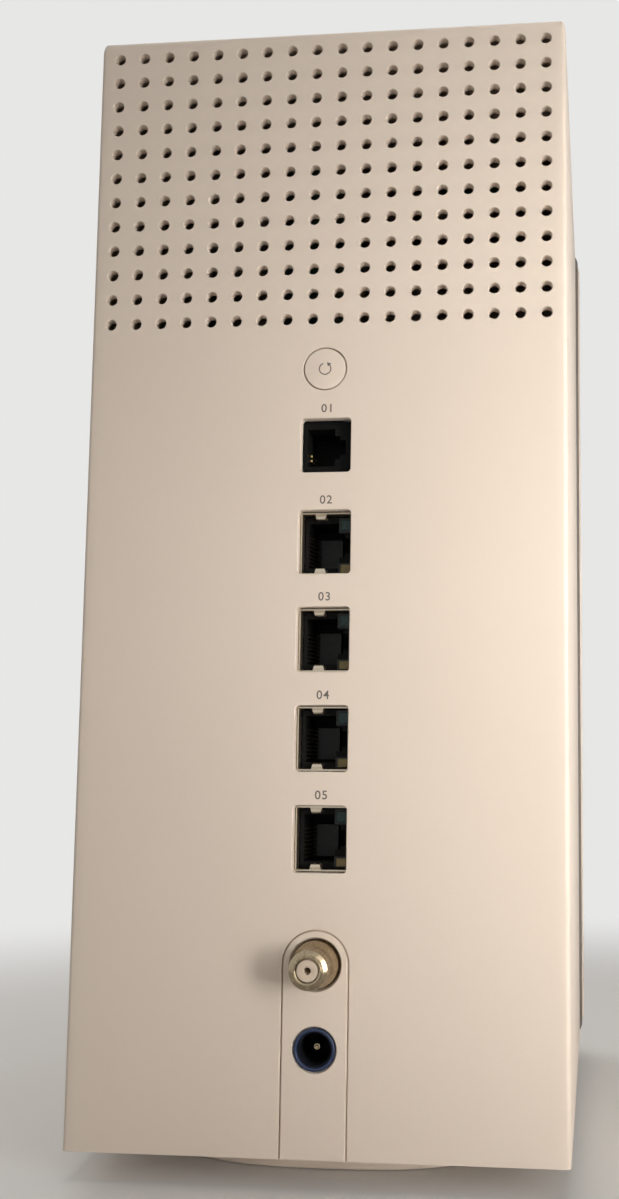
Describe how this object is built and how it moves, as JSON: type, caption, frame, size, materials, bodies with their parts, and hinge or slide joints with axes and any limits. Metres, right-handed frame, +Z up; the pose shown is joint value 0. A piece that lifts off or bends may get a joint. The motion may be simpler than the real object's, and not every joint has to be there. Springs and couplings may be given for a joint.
{
  "type": "broadband network terminal",
  "caption": "Upright home network terminal: plastic tower with a vented port panel, network, phone, coax and power sockets, and a flush reset button.",
  "frame": {"origin": "middle of the foot's underside, where the rubber pad rests", "axes": "+Z up, the port panel faces -Y, +X to the right of someone looking at the ports"},
  "size_m": [0.1382, 0.172, 0.2985],
  "materials": {
    "shell_plastic": "fine matte",
    "trim_plastic": "matte",
    "rubber_pad": "matte",
    "black_plastic": "satin",
    "tin_plate": "bright tin",
    "nickel": "bright nickel",
    "gold_plate": "polished",
    "insulator": "satin",
    "blue_plastic": "satin",
    "circuit_board": "solder mask",
    "grey_plastic": "matte",
    "screw_steel": "zinc plated",
    "chip_resin": "matte",
    "heat_pad": "matte",
    "heatsink_aluminium": "extruded",
    "lead_jacket": "satin",
    "light_plastic": "milky"
  },
  "bodies": {
    "casing": {"rear_housing": "shell_plastic", "front_cover": "shell_plastic", "seam_trim": "trim_plastic", "bottom_cover": "shell_plastic", "base_foot": "shell_plastic", "foot_pad": "rubber_pad", "port_tongue": "shell_plastic", "reset_switch_body": "black_plastic", "network_jack_1": "black_plastic", "network_jack_2": "black_plastic", "network_jack_3": "black_plastic", "network_jack_4": "black_plastic", "network_shield_1": "tin_plate", "network_shield_2": "tin_plate", "network_shield_3": "tin_plate", "network_shield_4": "tin_plate", "phone_jack": "black_plastic", "phone_contact_1": "gold_plate", "phone_contact_2": "gold_plate", "coax_body": "nickel", "coax_insulator": "insulator", "coax_contact": "gold_plate", "power_ring": "blue_plastic", "power_jack": "black_plastic", "power_pin": "nickel", "main_board": "circuit_board", "inner_frame": "grey_plastic", "board_screw_1": "screw_steel", "board_screw_2": "screw_steel", "board_screw_3": "screw_steel", "board_screw_4": "screw_steel", "heatsink_screw_1": "screw_steel", "heatsink_screw_2": "screw_steel", "heatsink_screw_3": "screw_steel", "heatsink_screw_4": "screw_steel", "base_screw_1": "screw_steel", "base_screw_2": "screw_steel", "base_screw_3": "screw_steel", "base_screw_4": "screw_steel", "main_chip": "chip_resin", "heat_pad": "heat_pad", "heatsink": "heatsink_aluminium", "radio_can": "tin_plate", "tuner_can": "tin_plate", "memory_chip_1": "chip_resin", "memory_chip_2": "chip_resin", "antenna_left": "circuit_board", "antenna_right": "circuit_board", "antenna_top": "circuit_board", "antenna_front": "circuit_board", "antenna_lead_left": "lead_jacket", "antenna_lead_right": "lead_jacket", "antenna_lead_top": "lead_jacket", "antenna_lead_front": "lead_jacket", "light_bar": "light_plastic", "light_board": "circuit_board", "light_lead": "lead_jacket"},
    "button": {"reset_button": "shell_plastic"},
    "plunger": {"reset_switch_plunger": "grey_plastic"}
  },
  "joints": [
    {"name": "reset_button_slide", "type": "slide", "parent": "casing", "child": "button", "axis": [0, 1, 0], "range_m": [0, 0.0008], "stiffness_N_per_m": 1500},
    {"name": "reset_switch_slide", "type": "slide", "parent": "casing", "child": "plunger", "axis": [0, 1, 0], "range_m": [0, 0.0009]}
  ],
  "couplings": [
    {"joint": "reset_switch_slide", "follows": "reset_button_slide", "ratio": 1}
  ]
}
